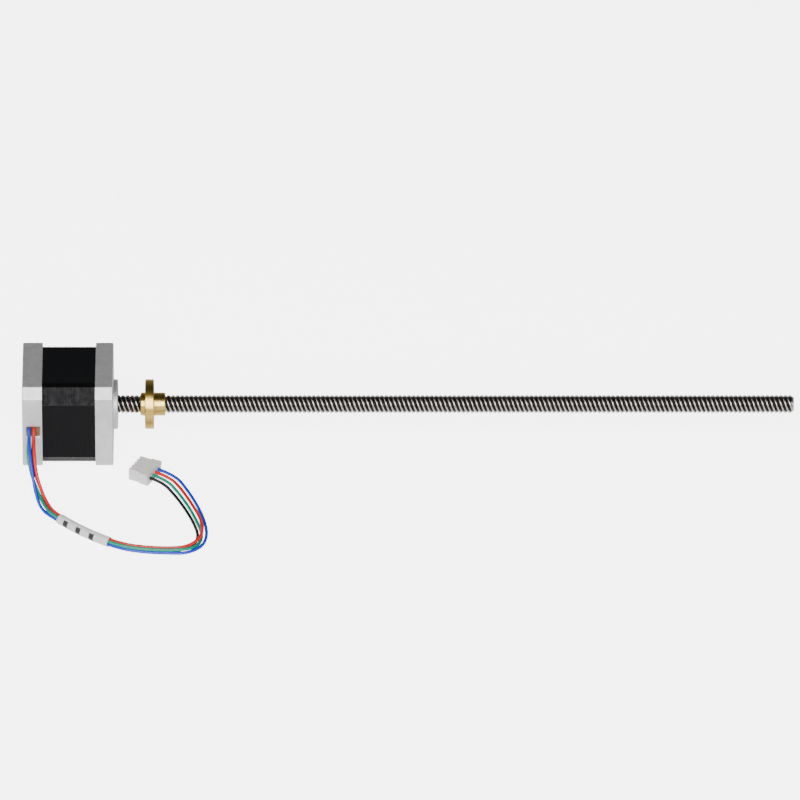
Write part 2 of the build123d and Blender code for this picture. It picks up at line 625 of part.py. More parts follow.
with BuildPart() as connector_housing:
    with BuildSketch(housing_base):
        with Locations((HOUSING_LENGTH / 2, 0)):
            Rectangle(HOUSING_LENGTH, HOUSING_WIDTH)
    extrude(amount=HOUSING_HEIGHT)
    # narrower mating end: a step at each end of the row
    with BuildSketch(housing_base):
        with Locations((HOUSING_LENGTH - NOSE_STEP_LENGTH / 2, 0)):
            with GridLocations(0, HOUSING_WIDTH - NOSE_STEP_WIDTH, 1, 2):
                Rectangle(NOSE_STEP_LENGTH, NOSE_STEP_WIDTH)
    extrude(amount=HOUSING_HEIGHT, mode=Mode.SUBTRACT)
    # notches that leave a battlement of teeth along the mating edge of the roof
    with BuildSketch(housing_base.offset(HOUSING_HEIGHT - NOTCH_DEPTH)):
        with Locations((HOUSING_LENGTH - NOTCH_LENGTH / 2, 0)):
            with GridLocations(0, PIN_PITCH, 1, PIN_COUNT):
                Rectangle(NOTCH_LENGTH, NOTCH_WIDTH)
    extrude(amount=NOTCH_DEPTH, mode=Mode.SUBTRACT)
    # window over each crimp's locking lance
    with BuildSketch(housing_base.offset(HOUSING_HEIGHT - NOTCH_DEPTH)):
        with Locations((HOUSING_LENGTH - WINDOW_SETBACK, 0)):
            with GridLocations(0, PIN_PITCH, 1, PIN_COUNT):
                Rectangle(WINDOW_LENGTH, WINDOW_WIDTH)
    extrude(amount=NOTCH_DEPTH, mode=Mode.SUBTRACT)
    # cavities for the crimps, and the wires' round entries behind them
    row_centre = housing_base.offset(pin_height).origin
    wire_end = Plane(origin=row_centre, x_dir=housing_base.y_dir, z_dir=housing_base.x_dir)
    with BuildSketch(wire_end.offset(CRIMP_START - 0.3)):
        with GridLocations(PIN_PITCH, 0, PIN_COUNT, 1):
            Rectangle(CAVITY_SIDE, CAVITY_SIDE)
    extrude(amount=HOUSING_LENGTH, mode=Mode.SUBTRACT)
    with BuildSketch(wire_end):
        with GridLocations(PIN_PITCH, 0, PIN_COUNT, 1):
            Circle(WIRE_HOLE_RADIUS)
    extrude(amount=CRIMP_START, mode=Mode.SUBTRACT)
    # small lugs beside the wires' end
    with BuildSketch(housing_base.offset(HOUSING_HEIGHT - LUG_DROP)):
        with Locations((LUG_SIZE[0] / 2, 0)):
            with GridLocations(0, HOUSING_WIDTH + LUG_SIZE[1], 1, 2):
                Rectangle(LUG_SIZE[0], LUG_SIZE[1])
    extrude(amount=LUG_SIZE[2])
save(connector_housing, "connector_housing")

with BuildPart() as crimp_terminals:
    crimp_length = HOUSING_LENGTH - CRIMP_START - CRIMP_SETBACK
    with BuildSketch(wire_end.offset(CRIMP_START)):
        with GridLocations(PIN_PITCH, 0, PIN_COUNT, 1):
            Rectangle(CRIMP_SIDE, CRIMP_SIDE)
    extrude(amount=crimp_length)
    # square socket for the header's pin
    with BuildSketch(wire_end.offset(CRIMP_START + crimp_length)):
        with GridLocations(PIN_PITCH, 0, PIN_COUNT, 1):
            Rectangle(SOCKET_SIDE, SOCKET_SIDE)
    extrude(amount=-SOCKET_DEPTH, mode=Mode.SUBTRACT)
save(crimp_terminals, "crimp_terminals")
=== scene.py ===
"""Looks of the stepper motor with lead screw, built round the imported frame.

Metres, in the frame of the CAD model: +X along the screw to its tip, +Z up, and the table under the
motor's lower side face.
"""
import json
from math import cos, pi, radians, sin, tanh

import bmesh
import bpy
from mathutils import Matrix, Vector


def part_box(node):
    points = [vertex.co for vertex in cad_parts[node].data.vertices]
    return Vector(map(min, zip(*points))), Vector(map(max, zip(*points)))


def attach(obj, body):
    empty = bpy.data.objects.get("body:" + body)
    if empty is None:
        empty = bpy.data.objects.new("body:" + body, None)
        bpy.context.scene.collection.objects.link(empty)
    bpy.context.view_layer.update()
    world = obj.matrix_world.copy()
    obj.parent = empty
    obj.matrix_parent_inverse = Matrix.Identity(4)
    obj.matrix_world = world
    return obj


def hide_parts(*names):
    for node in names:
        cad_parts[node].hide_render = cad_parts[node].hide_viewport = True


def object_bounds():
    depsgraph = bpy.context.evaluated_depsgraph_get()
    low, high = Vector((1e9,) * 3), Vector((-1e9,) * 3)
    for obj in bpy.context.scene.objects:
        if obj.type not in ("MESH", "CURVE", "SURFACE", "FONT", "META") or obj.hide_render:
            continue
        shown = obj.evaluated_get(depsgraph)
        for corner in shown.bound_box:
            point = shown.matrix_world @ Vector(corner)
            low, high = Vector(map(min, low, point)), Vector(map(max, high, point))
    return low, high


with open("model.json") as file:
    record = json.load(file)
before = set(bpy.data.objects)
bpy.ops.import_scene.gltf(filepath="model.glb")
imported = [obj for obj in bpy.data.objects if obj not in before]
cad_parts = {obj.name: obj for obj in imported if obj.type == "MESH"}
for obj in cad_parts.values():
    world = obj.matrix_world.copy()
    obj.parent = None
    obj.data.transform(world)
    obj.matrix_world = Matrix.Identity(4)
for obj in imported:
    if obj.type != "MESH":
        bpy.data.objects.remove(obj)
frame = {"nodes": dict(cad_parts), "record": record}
cad_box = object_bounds()
nodes = frame["nodes"]
MM = 0.001

# ---------------------------------------------------------------- camera
SCREW_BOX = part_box("lead_screw")
NUT_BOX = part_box("lead_nut")
STACK_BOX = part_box("stator_stack")
FLOOR_Z = cad_box[0].z

VIEW_ELEVATION = radians(35)
VIEW_WIDTH = 0.3527         # of the table across the picture, at the aim point
VIEW_DISTANCE = 9.0
SENSOR = 36.0
aim = Vector((0.1263, 0.0, 0.00215))
back = Vector((0, -cos(VIEW_ELEVATION), sin(VIEW_ELEVATION)))
camera_data = bpy.data.cameras.new("camera")
camera_data.sensor_width = SENSOR
camera_data.lens = SENSOR * VIEW_DISTANCE / VIEW_WIDTH
camera_data.clip_end = 100
camera = bpy.data.objects.new("camera", camera_data)
bpy.context.scene.collection.objects.link(camera)
camera.location = aim + back * VIEW_DISTANCE
camera.rotation_mode = "QUATERNION"
camera.rotation_quaternion = (-back).to_track_quat("-Z", "Y")
bpy.context.scene.camera = camera

# ---------------------------------------------------------------- plug on the wires' end
PLUG_EDGE = 0.16 * MM
MERGE_DISTANCE = 0.0005 * MM
FLAT_WITHIN = radians(1)
ROUNDED_FROM = radians(40)


def shade_by_angle(piece, degrees):
    """Smooth shading with crisp corners."""
    mesh = piece.data
    mesh.polygons.foreach_set("use_smooth", [True] * len(mesh.polygons))
    mesh.set_sharp_from_angle(angle=radians(degrees))


def soften(node_name, piece_name, width, body):
    """A copy of a carried-over part with its hard edges rounded, which stands in for it."""
    source = bmesh.new()
    source.from_mesh(nodes[node_name].data)
    bmesh.ops.remove_doubles(source, verts=source.verts, dist=MERGE_DISTANCE)
    bmesh.ops.dissolve_limit(source, angle_limit=FLAT_WITHIN, verts=source.verts, edges=source.edges)
    mesh = bpy.data.meshes.new(piece_name)
    source.to_mesh(mesh)
    source.free()
    piece = bpy.data.objects.new(piece_name, mesh)
    bpy.context.scene.collection.objects.link(piece)
    piece.matrix_world = nodes[node_name].matrix_world
    rounding = piece.modifiers.new("rounding", "BEVEL")
    rounding.width = width
    rounding.segments = 2
    rounding.limit_method = "ANGLE"
    rounding.angle_limit = ROUNDED_FROM
    rounding.harden_normals = True
    shade_by_angle(piece, 40)
    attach(piece, body)
    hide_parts(node_name)
    return piece


housing = soften("connector_housing", "plug_housing", PLUG_EDGE, "motor")

# ---------------------------------------------------------------- wires
# Middle of the four wires, in millimetres, from the terminal block to the connector.
ROUTE = [
    (-35.9, -18.3, 0.0),
    (-35.9, -25.6, 0.0),
    (-35.7, -33.0, -3.6),
    (-34.7, -39.4, -10.0),
    (-32.6, -45.2, -16.0),
    (-29.8, -51.4, -19.2),
    (-25.9, -58.3, -18.8),
    (-12.6, -71.0, -18.8),
    (2.4, -81.2, -18.8),
    (13.5, -83.2, -19.6),
    (24.5, -84.0, -19.6),
    (32.2, -83.4, -19.6),
    (38.0, -79.0, -19.6),
    (39.9, -71.4, -19.6),
    (38.0, -61.0, -19.6),
    (34.6, -50.6, -19.4),
    (30.1, -40.8, -18.9),
    (24.3, -30.6, -18.3),
    (16.16, -26.27, -18.3),
]

# Where each wire lies about that middle line: to the left of travel, and above it.
LANES = {
    "wire_blue": [
        (-1.05, 0.95), (-1.05, 0.95), (-0.9, 0.9), (-0.8, 0.9), (-1.5, 0.4), (-1.7, -0.7),
        (-0.8, -0.8), (-0.8, -0.8), (-0.8, -0.8), (-0.8, -0.8), (-0.8, -0.8), (-1.6, -0.8),
        (-1.8, -0.8), (-1.9, -0.8), (-2.6, -0.8), (-3.0, -0.6), (-3.3, -0.2), (-3.75, 0.0),
        (-3.75, 0.0),
    ],
    "wire_red": [
        (1.05, 0.95), (1.05, 0.95), (1.0, 0.9), (0.9, 0.9), (1.3, 0.95), (1.3, 1.2),
        (0.8, 0.8), (0.8, 0.8), (0.8, 0.8), (0.8, 0.8), (0.8, 0.8), (0.95, 0.8),
        (0.9, 1.0), (0.0, 0.95), (-0.95, 0.5), (-1.1, -0.6), (-1.2, -0.2), (-1.25, 0.0),
        (-1.25, 0.0),
    ],
    "wire_green": [
        (-1.05, -0.95), (-1.05, -0.95), (-1.8, -0.7), (-1.0, -0.9), (0.2, -0.85), (-0.2, 0.6),
        (-0.8, 0.8), (-0.8, 0.8), (-0.8, 0.8), (-0.8, 0.8), (-0.8, 0.8), (-0.7, 0.7),
        (0.0, -0.75), (0.1, -0.8), (0.7, -0.8), (0.9, -0.6), (1.1, -0.2), (1.25, 0.0),
        (1.25, 0.0),
    ],
    "wire_black": [
        (1.05, -0.95), (1.05, -0.95), (0.4, -0.9), (0.7, -0.9), (1.9, -0.85), (1.5, -0.8),
        (0.8, -0.8), (0.8, -0.8), (0.8, -0.8), (0.8, -0.8), (0.8, -0.8), (1.3, -0.8),
        (1.8, -0.8), (1.9, -0.8), (2.4, -0.8), (2.9, -0.6), (3.3, -0.2), (3.75, 0.0),
        (3.75, 0.0),
    ],
}
WIRE_RADIUS = 0.75 * MM


def beside_route(lanes):
    """The route's points in metres, each moved by its lane: left of travel, and up from it."""
    points = [Vector(point) * MM for point in ROUTE]
    headings = [(after - before).normalized() for before, after in zip(points, points[1:])]
    arrivals = [headings[0]] + headings
    departures = headings + [headings[-1]]
    moved = []
    for point, arriving, leaving, (side, rise) in zip(points, arrivals, departures, lanes):
        travel = (arriving + leaving).normalized()
        left = Vector((0, 0, 1)).cross(travel).normalized()
        above = travel.cross(left)
        miter = travel.dot(leaving)
        moved.append(point + left * (side * MM / miter) + above * (rise * MM))
    return moved


def smooth_line(name, points, radius=0.0):
    """A NURBS curve with those points as its control points. Its points carry its radius."""
    data = bpy.data.curves.new(name, "CURVE")
    data.dimensions = "3D"
    data.resolution_u = 12
    data.bevel_depth = 1.0 if radius else 0.0
    data.bevel_resolution = 6
    data.use_fill_caps = True
    spline = data.splines.new("NURBS")
    spline.points.add(len(points) - 1)
    for target, point in zip(spline.points, points):
        target.co = (*point, 1.0)
        target.radius = radius
    spline.order_u = 3
    spline.use_endpoint_u = True
    curve = bpy.data.objects.new(name, data)
    bpy.context.scene.collection.objects.link(curve)
    return curve


def curve_points(curve):
    """The points of a curve that has no bevel."""
    mesh = bpy.data.meshes.new_from_object(curve.evaluated_get(bpy.context.evaluated_depsgraph_get()))
    points = [vertex.co.copy() for vertex in mesh.vertices]
    bpy.data.meshes.remove(mesh)
    return points


wires = {}
for name, lanes in LANES.items():
    wire_points = beside_route(lanes)
    wire = smooth_line(name + "_insulation", wire_points, WIRE_RADIUS)
    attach(wire, "motor")
    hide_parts(name)
    wires[name] = wire


# ---------------------------------------------------------------- mesh helpers
def new_piece(name, vertices, faces, body):
    """A mesh piece that rides on a body."""
    mesh = bpy.data.meshes.new(name)
    mesh.from_pydata(vertices, [], faces)
    mesh.update()
    piece = bpy.data.objects.new(name, mesh)
    bpy.context.scene.collection.objects.link(piece)
    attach(piece, body)
    return piece


def skin_rings(rings, ends):
    """Vertices and faces of a tube through rings that all have the same number of points.

    Its ends are "open", "capped", or "joined", which leads the last ring back to the first.
    """
    count = len(rings[0])
    last = (len(rings) - 1) * count
    vertices = [point for ring in rings for point in ring]
    faces = []
    for here in range(0, last, count):
        there = here + count
        for k in range(count):
            after = (k + 1) % count
            faces.append((here + k, there + k, there + after, here + after))
    if ends == "capped":
        faces.append(tuple(range(count)))
        faces.append(tuple(last + k for k in reversed(range(count))))
    if ends == "joined":
        for k in range(count):
            after = (k + 1) % count
            faces.append((last + k, k, after, last + after))
    return vertices, faces


# ---------------------------------------------------------------- lead screw thread
THREAD_LEAD = 8 * MM
THREAD_STARTS = 4
CREST_RADIUS = 4.0 * MM
ROOT_RADIUS = 2.95 * MM
THREAD_START_X = -1.0 * MM
THREAD_RUN_OUT = 1.2 * MM
THREAD_SEAM = 0.01 * MM     # between the plain shoulder and the thread's first ring
FLANK_STEEPNESS = 1.5
GROOVE_SHARE = 0.55         # how much of the thread's depth is dark with oil and painted shade
SHAFT_RADIUS = 2.5 * MM
SHAFT_EDGE = 0.3 * MM
SHOULDER_RADIUS = 2.9 * MM
SHOULDER_X = -1.8 * MM
TIP_X = SCREW_BOX[1].x
TIP_BEVEL = 1.1 * MM
POINTS_ROUND = 64
RINGS_PER_TURN = 36


def helix_turn(x):
    """How far the thread has turned about +X by the time it reaches x."""
    return 2 * pi * (x - THREAD_START_X) / THREAD_LEAD


def thread_radius(angle, x):
    """Radius of the screw's four-start thread, with rounded crests, at an angle about +X."""
    phase = THREAD_STARTS * (angle - helix_turn(x))
    crest = 0.5 + 0.5 * tanh(FLANK_STEEPNESS * cos(phase)) / tanh(FLANK_STEEPNESS)
    return ROOT_RADIUS + (CREST_RADIUS - ROOT_RADIUS) * crest


def round_ring(x, radius, count=POINTS_ROUND, twist=0.0):
    """A plain circle of points square to the screw axis."""
    angles = [2 * pi * k / count + twist for k in range(count)]
    return [(x, radius * cos(a), radius * sin(a)) for a in angles]


def thread_ring(x):
    """One ring of the thread. Its points turn with the helix, so faces run along the flanks."""
    run_in = min(1.0, (x - THREAD_START_X) / THREAD_RUN_OUT)
    bevelled = CREST_RADIUS - max(0.0, x - (TIP_X - TIP_BEVEL))
    ring = []
    for k in range(POINTS_ROUND):
        angle = 2 * pi * k / POINTS_ROUND + helix_turn(x)
        full = thread_radius(angle, x)
        radius = min(ROOT_RADIUS + (full - ROOT_RADIUS) * run_in, bevelled)
        ring.append((x, radius * cos(angle), radius * sin(angle)))
    return ring


def make_screw():
    """The shaft through the motor and the threaded length beyond it, as one closed mesh."""
    shaft_rear = SCREW_BOX[0].x
    rings = [
        round_ring(shaft_rear, SHAFT_RADIUS - SHAFT_EDGE),
        round_ring(shaft_rear + SHAFT_EDGE, SHAFT_RADIUS),
        round_ring(SHOULDER_X, SHAFT_RADIUS),
        round_ring(SHOULDER_X, SHOULDER_RADIUS),
        round_ring(THREAD_START_X - THREAD_SEAM, SHOULDER_RADIUS),
    ]
    ring_step = THREAD_LEAD / RINGS_PER_TURN
    ring_count = int((TIP_X - THREAD_START_X) / ring_step)
    rings += [thread_ring(THREAD_START_X + k * ring_step) for k in range(ring_count)]
    rings.append(thread_ring(TIP_X))
    vertices, faces = skin_rings(rings, "capped")
    piece = new_piece("screw_thread", vertices, faces, "rotor")
    shade_by_angle(piece, 50)
    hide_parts("lead_screw")
    return piece


screw = make_screw()

# ---------------------------------------------------------------- the nut's own thread
NUT_BORE_RADIUS = 4.06 * MM
NUT_LAND_RADIUS = 4.03 * MM
THREAD_PLAY = 0.12 * MM
NUT_THREAD_INSET = 0.1 * MM
NUT_ENTRY = 0.5 * MM        # the ridges fade over this length at both ends
NUT_POINTS_ROUND = 72
NUT_THREAD_STEPS = 66
NUT_BORE_STEPS = 6


def make_nut_thread():
    """Ridges inside the nut's bore that stand in the screw's grooves, with a little play."""
    start = NUT_BOX[0].x + NUT_THREAD_INSET
    end = NUT_BOX[1].x - NUT_THREAD_INSET
    rings = []
    for k in range(NUT_THREAD_STEPS + 1):
        x = start + (end - start) * k / NUT_THREAD_STEPS
        fade = max(0.0, NUT_ENTRY - min(x - start, end - x))
        ring = []
        for j in range(NUT_POINTS_ROUND):
            angle = 2 * pi * j / NUT_POINTS_ROUND + helix_turn(x)
            radius = min(NUT_LAND_RADIUS, thread_radius(angle, x) + THREAD_PLAY + fade)
            ring.append((x, radius * cos(angle), radius * sin(angle)))
        rings.append(ring)
    # and back along the wall of the bore
    for k in range(NUT_BORE_STEPS + 1):
        x = end + (start - end) * k / NUT_BORE_STEPS
        rings.append(round_ring(x, NUT_BORE_RADIUS, NUT_POINTS_ROUND, helix_turn(x)))
    vertices, faces = skin_rings(rings, "joined")
    piece = new_piece("nut_thread", vertices, faces, "nut")
    shade_by_angle(piece, 50)
    return piece


nut_thread = make_nut_thread()

# ---------------------------------------------------------------- laminations round the stack
LAMINATION_PITCH = 0.5 * MM
LAMINATION_GROOVE = 0.07 * MM
SHALLOWEST_GROOVE = 0.35    # of the full depth
SCATTER_STEP = 12.9898
SCATTER_GAIN = 7.0
STACK_HALF = STACK_BOX[1].y
STACK_CORNER = 7.2 * MM
SKIN_PROUD = 0.05 * MM
SKIN_THICKNESS = 0.04 * MM
FLAT_GROOVE_SHARE = 0.12    # how deep a groove is on the sides, next to a corner flat
GROOVE_EASE = 12            # a groove is at full depth after 1/12 of a corner flat
CORNER_STATIONS = (0.0, 0.03, 0.06, 0.12, 0.2, 0.5, 0.8, 0.88, 0.94, 0.97, 1.0)
PAINTED_SHADE_FROM = 0.80     # of the way across a corner flat, towards the top or bottom, where the band of painted shade begins
CORNER_FACES_BELOW = 0.6    # difference between a corner face's sideways and upward normal


def groove_depth(sheet):
    """Depth of the groove beside one sheet, scattered but always the same."""
    scatter = abs(sin(SCATTER_STEP * (sheet + 1)) * SCATTER_GAIN % 1.0)
    return LAMINATION_GROOVE * (SHALLOWEST_GROOVE + (1 - SHALLOWEST_GROOVE) * scatter)


def stack_outline(inset):
    """Outline of one lamination: four sides and four corner flats, cut in by a groove's depth."""
    half = STACK_HALF + SKIN_PROUD - inset * FLAT_GROOVE_SHARE
    points = []
    for quarter in range(4):
        turn = quarter * pi / 2
        c, s = cos(turn), sin(turn)
        for t in CORNER_STATIONS:
            depth = inset * min(1.0, GROOVE_EASE * min(t, 1 - t)) / 2**0.5
            y = half - STACK_CORNER * t - depth
            z = half - STACK_CORNER * (1 - t) - depth
            points.append((y * c - z * s, y * s + z * c))
    return points


def make_laminations():
    """A painted skin over the stack, whose corner flats show the edges of the steel sheets."""
    start, end = STACK_BOX[0].x, STACK_BOX[1].x
    sheets = round((end - start) / LAMINATION_PITCH)
    pitch = (end - start) / sheets
    rings = []
    for sheet in range(sheets):
        x = start + sheet * pitch
        groove = groove_depth(sheet)
        for offset, inset in ((0.06, groove), (0.22, 0.0), (0.78, 0.0), (0.94, groove)):
            rings.append([(x + offset * pitch, y, z) for y, z in stack_outline(inset)])
    vertices, faces = skin_rings(rings, "open")
    piece = new_piece("stack_skin", vertices, faces, "motor")
    thickness = piece.modifiers.new("thickness", "SOLIDIFY")
    thickness.thickness = SKIN_THICKNESS
    thickness.offset = -1.0
    shade_by_angle(piece, 40)
    return piece


laminations = make_laminations()

# ---------------------------------------------------------------- marker sleeve
SLEEVE_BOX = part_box("marker_sleeve")
SLEEVE_RADIUS = 2.3 * MM
SLEEVE_WALL = 0.32 * MM
SLEEVE_END_INSET = 1.4 * MM  # from the box's ends to those of the middle line
SLEEVE_SOFT_EDGE = 0.1 * MM
SLEEVE_SQUARENESS = 0.012
SLEEVE_WAVE = 0.01
SLEEVE_WAVE_RATE = 0.9 / MM
SLEEVE_HEADING_STEP = 0.8 * MM
SLEEVE_POINTS_ROUND = 40
SLEEVE_STEPS = 60
SLEEVE_INNER_STEPS = 4


def sleeve_line():
    """The wires' middle line, where the sleeve is on it."""
    guide = smooth_line("sleeve_guide", [Vector(point) * MM for point in ROUTE])
    bpy.context.view_layer.update()
    line = curve_points(guide)
    bpy.data.objects.remove(guide)
    first_x = SLEEVE_BOX[0].x + SLEEVE_END_INSET
    last_x = SLEEVE_BOX[1].x - SLEEVE_END_INSET
    return [point for point in line if first_x < point.x < last_x]


def make_sleeve():
    """Soft white tube round the wires, slightly uneven, with softly cut ends."""
    line = sleeve_line()
    lengths = [0.0]
    for before, after in zip(line, line[1:]):
        lengths.append(lengths[-1] + (after - before).length)
    total = lengths[-1]

    def place(s):
        for k in range(len(line) - 1):
            if lengths[k + 1] >= s or k == len(line) - 2:
                t = (s - lengths[k]) / (lengths[k + 1] - lengths[k])
                return line[k].lerp(line[k + 1], t)

    def ring_at(s, radius):
        centre = place(s)
        further = place(min(total, s + SLEEVE_HEADING_STEP))
        nearer = place(max(0.0, s - SLEEVE_HEADING_STEP))
        ahead = (further - nearer).normalized()
        left = Vector((0, 0, 1)).cross(ahead).normalized()
        above = ahead.cross(left)
        points = []
        for j in range(SLEEVE_POINTS_ROUND):
            a = 2 * pi * j / SLEEVE_POINTS_ROUND
            squarish = 1 + SLEEVE_SQUARENESS * cos(4 * a)
            wave = 1 + SLEEVE_WAVE * sin(s * SLEEVE_WAVE_RATE + 2 * a)
            points.append(centre + (left * cos(a) + above * sin(a)) * radius * squarish * wave)
        return points

    soft = SLEEVE_SOFT_EDGE
    evenly = [soft + (total - 2 * soft) * k / SLEEVE_STEPS for k in range(1, SLEEVE_STEPS)]
    rings = []
    marks = []
    for s in [0.0, soft] + evenly + [total - soft, total]:
        tuck = soft * (1 - min(1.0, s / soft, (total - s) / soft))
        rings.append(ring_at(s, SLEEVE_RADIUS - tuck))
        marks.append(s / total)
    # and back along the inner wall
    for k in range(SLEEVE_INNER_STEPS + 1):
        s = total * (1 - k / SLEEVE_INNER_STEPS)
        rings.append(ring_at(s, SLEEVE_RADIUS - SLEEVE_WALL))
        marks.append(s / total)
    vertices, faces = skin_rings(rings, "joined")
    piece = new_piece("sleeve_tube", vertices, faces, "motor")
    # where each corner lies: along the sleeve, and round it
    layer = piece.data.uv_layers.new(name="UVMap")
    for polygon in piece.data.polygons:
        columns = [v % SLEEVE_POINTS_ROUND for v in polygon.vertices]
        wraps = max(columns) - min(columns) > 1
        for loop_index, vertex, column in zip(polygon.loop_indices, polygon.vertices, columns):
            turned = column + SLEEVE_POINTS_ROUND if wraps and column == 0 else column
            along = marks[vertex // SLEEVE_POINTS_ROUND]
            layer.data[loop_index].uv = (along, turned / SLEEVE_POINTS_ROUND)
    shade_by_angle(piece, 60)
    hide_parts("marker_sleeve")
    return piece


sleeve = make_sleeve()

# ---------------------------------------------------------------- shading of carried-over parts
for node in nodes.values():
    shade_by_angle(node, 30)


# ---------------------------------------------------------------- materials
class Material:
    """A Principled material with a few procedural nodes, in the object's own coordinates."""

    def __init__(self, name):
        self.material = bpy.data.materials.new(name)
        self.material.use_nodes = True
        self.tree = self.material.node_tree
        self.shader = self.tree.nodes["Principled BSDF"]
        self.place = self.tree.nodes.new("ShaderNodeTexCoord").outputs["Object"]

    def node(self, kind, inputs=(), **settings):
        made = self.tree.nodes.new(kind)
        for key, value in settings.items():
            setattr(made, key, value)
        for key, value in dict(inputs).items():
            if isinstance(value, bpy.types.NodeSocket):
                self.tree.links.new(value, made.inputs[key])
            else:
                made.inputs[key].default_value = value
        return made

    def set(self, **values):
        """Values on the shader's own sockets; a socket is linked, a number is set."""
        for key, value in values.items():
            socket = self.shader.inputs[key.replace("_", " ")]
            if isinstance(value, bpy.types.NodeSocket):
                self.tree.links.new(value, socket)
            else:
                socket.default_value = value

    def noise(self, scale, detail=4.0, roughness=0.55, stretch=(1, 1, 1)):
        mapped = self.node("ShaderNodeMapping", {"Vector": self.place, "Scale": stretch})
        return self.node(
            "ShaderNodeTexNoise",
            {"Vector": mapped.outputs[0], "Scale": scale, "Detail": detail, "Roughness": roughness},
        ).outputs["Fac"]

    def ramp(self, factor, stops):
        made = self.node("ShaderNodeValToRGB", {"Fac": factor})
        elements = made.color_ramp.elements
        while len(elements) < len(stops):
            elements.new(0.5)
        for element, (position, colour) in zip(elements, stops):
            element.position = position
            element.color = (*colour, 1.0)
        return made.outputs["Color"]

    def spread(self, factor, low, high):
        """Maps 0..1 to low..high."""
        return self.node(
            "ShaderNodeMapRange", {"Value": factor, "To Min": low, "To Max": high}
        ).outputs[0]

    def math(self, operation, a, b=0.0):
        return self.node("ShaderNodeMath", {0: a, 1: b}, operation=operation).outputs[0]

    def bump(self, height, strength, distance):
        made = self.node(
            "ShaderNodeBump", {"Height": height, "Strength": strength, "Distance": distance}
        )
        self.set(Normal=made.outputs[0])


def cast_aluminium():
    """Sand-grained die casting, with brighter wear."""
    m = Material("cast_aluminium")
    grain = m.noise(2600, 6, 0.7)
    patches = m.noise(260, 3)
    m.set(
        Base_Color=m.ramp(patches, [(0.3, (0.60, 0.60, 0.615)), (0.7, (0.72, 0.72, 0.73))]),
        Metallic=0.75,
        Roughness=m.spread(grain, 0.34, 0.56),
    )
    m.bump(grain, 0.35, 0.00012)
    return m.material


def black_laminations():
    """Black paint, thin over the sheets' edges."""
    m = Material("black_laminations")
    fine = m.noise(1800, 5, 0.6)
    m.set(
        Base_Color=m.ramp(fine, [(0.3, (0.003, 0.003, 0.0035)), (0.75, (0.008, 0.008, 0.009))]),
        Roughness=m.spread(fine, 0.42, 0.60),
        Specular_IOR_Level=0.09,
    )
    m.bump(fine, 0.2, 0.00005)
    return m.material


def sheet_edges():
    """Edges of the sheets through thin paint, lighter on some sheets than on others."""
    m = Material("sheet_edges")
    sheets = m.noise(2100, 2, 0.7, (1, 0.02, 0.02))
    blotches = m.noise(420, 3)
    worn = m.math("MULTIPLY", sheets, blotches)
    m.set(
        Base_Color=m.ramp(worn, [(0.18, (0.006, 0.006, 0.007)), (0.45, (0.030, 0.029, 0.031))]),
        Roughness=m.spread(sheets, 0.36, 0.55),
        Specular_IOR_Level=0.12,
    )
    m.bump(sheets, 0.25, 0.00005)
    return m.material


def painted_shade_band():
    """Painted shade: a dull near-black band that hides the sheets."""
    m = Material("painted_shade_band")
    fine = m.noise(900, 3)
    m.set(
        Base_Color=m.ramp(fine, [(0.3, (0.0015, 0.0015, 0.0015)), (0.7, (0.003, 0.003, 0.003))]),
        Roughness=m.spread(fine, 0.8, 0.9),
        Specular_IOR_Level=0.02,
    )
    return m.material


def turned_metal(name, dark, light, roughness, grooves=2400, strength=0.12):
    """Metal with fine turning marks round the X axis."""
    m = Material(name)
    rings = m.noise(grooves, 3, 0.6, (1, 0.02, 0.02))
    patches = m.noise(330, 3)
    m.set(
        Base_Color=m.ramp(patches, [(0.25, dark), (0.75, light)]),
        Metallic=1.0,
        Roughness=m.spread(rings, roughness - 0.06, roughness + 0.08),
    )
    m.bump(rings, strength, 0.00004)
    return m.material


def plastic(name, dark, light, roughness, grain=900, strength=0.08, specular=0.5):
    """Moulded or extruded plastic, with faint mottling."""
    m = Material(name)
    mottling = m.noise(grain, 4)
    m.set(
        Base_Color=m.ramp(mottling, [(0.3, dark), (0.7, light)]),
        Roughness=m.spread(m.noise(grain * 0.6, 3), roughness - 0.05, roughness + 0.07),
        Specular_IOR_Level=specular,
    )
    m.bump(mottling, strength, 0.00006)
    return m.material


def groove_oil_and_painted_shade():
    """Steel in the grooves under a dark film of oil, darkened further as painted shade."""
    m = Material("groove_oil_and_painted_shade")
    film = m.noise(900, 3)
    m.set(
        Base_Color=m.ramp(film, [(0.3, (0.006, 0.005, 0.005)), (0.7, (0.03, 0.026, 0.023))]),
        Metallic=0.5,
        Specular_IOR_Level=0.2,
        Roughness=m.spread(film, 0.34, 0.46),
    )
    m.bump(film, 0.1, 0.00004)
    return m.material


def copper_turns():
    """Enamelled wire laid side by side."""
    m = Material("enamelled_copper")
    turns = m.node(
        "ShaderNodeTexWave",
        {"Vector": m.place, "Scale": 900.0, "Distortion": 1.2, "Detail": 1.0},
        bands_direction="DIAGONAL",
    ).outputs["Fac"]
    m.set(
        Base_Color=m.ramp(turns, [(0.1, (0.22, 0.07, 0.03)), (0.6, (0.62, 0.26, 0.11))]),
        Metallic=0.8,
        Roughness=0.32,
    )
    m.bump(turns, 0.5, 0.0001)
    return m.material


BAR_SPANS = ((0.14, 0.23), (0.40, 0.49), (0.66, 0.75))  # along the sleeve
BAR_REACH = (0.34, 0.66)                                # round it


